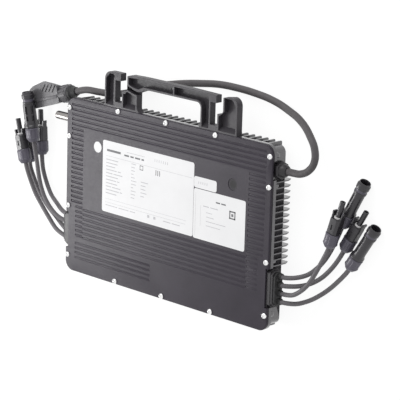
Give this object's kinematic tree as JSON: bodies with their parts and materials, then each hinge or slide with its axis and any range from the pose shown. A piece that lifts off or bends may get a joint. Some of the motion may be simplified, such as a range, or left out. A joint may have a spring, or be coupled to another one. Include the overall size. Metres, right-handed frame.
{
  "type": "solar microinverter",
  "caption": "Solar microinverter: finned cast case with a grooved cover, hook bracket, panel leads with locking connectors on both sides and a mains lead with plug.",
  "frame": {"origin": "on the plane of the fin tips, at the middle of the rectangle of cover screws, where the middle fin ends", "axes": "+Z out of the cover, +X to the right seen from the cover, +Y from the case towards the bracket"},
  "size_m": [0.5648, 0.2601, 0.0385],
  "materials": {
    "cast_case": "powder coated, fine texture",
    "cover": "powder coated, satin",
    "gasket": "matt",
    "screw_steel": "bright",
    "bracket": "fine moulded texture",
    "gland_plastic": "satin",
    "seal_rubber": "matt",
    "antenna_metal": "turned",
    "label_white": "printed film",
    "board_green": "solder mask",
    "ferrite": "matt",
    "capacitor_can": "sleeved",
    "relay_case": "moulded",
    "thermal_pad": "soft",
    "cord_jacket": "matt jacket",
    "plug_plastic": "fine moulded texture",
    "nut_plastic": "satin",
    "ring_seal": "pale silicone",
    "connector_plastic": "satin"
  },
  "bodies": {
    "root": {"heatsink_base": "cast_case", "cover_gasket": "gasket", "cover_plate": "cover", "cover_screws": "screw_steel", "mounting_bracket": "bracket", "dc_gland_frame_right": "gland_plastic", "dc_gland_seal_right": "seal_rubber", "dc_gland_frame_left": "gland_plastic", "dc_gland_seal_left": "seal_rubber", "ac_gland_body": "gland_plastic", "ac_gland_nut": "gland_plastic", "antenna_sleeve": "antenna_metal", "antenna_nut": "antenna_metal", "rating_label": "label_white", "serial_label": "label_white", "code_label": "label_white", "round_sticker": "label_white", "circuit_board": "board_green", "transformers": "ferrite", "capacitors": "capacitor_can", "relays": "relay_case", "ac_choke": "ferrite", "thermal_pads": "thermal_pad", "ac_cord": "cord_jacket", "ac_plug_housing": "plug_plastic", "ac_plug_insert": "plug_plastic", "ac_plug_nut": "plug_plastic", "ac_plug_boot": "seal_rubber", "lead_right_1": "cord_jacket", "lead_right_2": "cord_jacket", "lead_right_3": "cord_jacket", "lead_right_4": "cord_jacket", "lead_left_1": "cord_jacket", "lead_left_2": "cord_jacket", "lead_left_3": "cord_jacket", "lead_left_4": "cord_jacket", "female_body_right_1": "connector_plastic", "male_body_right_2": "connector_plastic", "male_body_right_3": "connector_plastic", "female_body_right_4": "connector_plastic", "male_body_left_1": "connector_plastic", "female_body_left_2": "connector_plastic", "female_body_left_3": "connector_plastic", "male_body_left_4": "connector_plastic", "nut_right_1": "nut_plastic", "nut_right_2": "nut_plastic", "nut_right_3": "nut_plastic", "nut_right_4": "nut_plastic", "nut_left_1": "nut_plastic", "nut_left_2": "nut_plastic", "nut_left_3": "nut_plastic", "nut_left_4": "nut_plastic", "ring_right_2": "ring_seal", "ring_right_3": "ring_seal", "ring_left_1": "ring_seal", "ring_left_4": "ring_seal"}
  },
  "joints": []
}
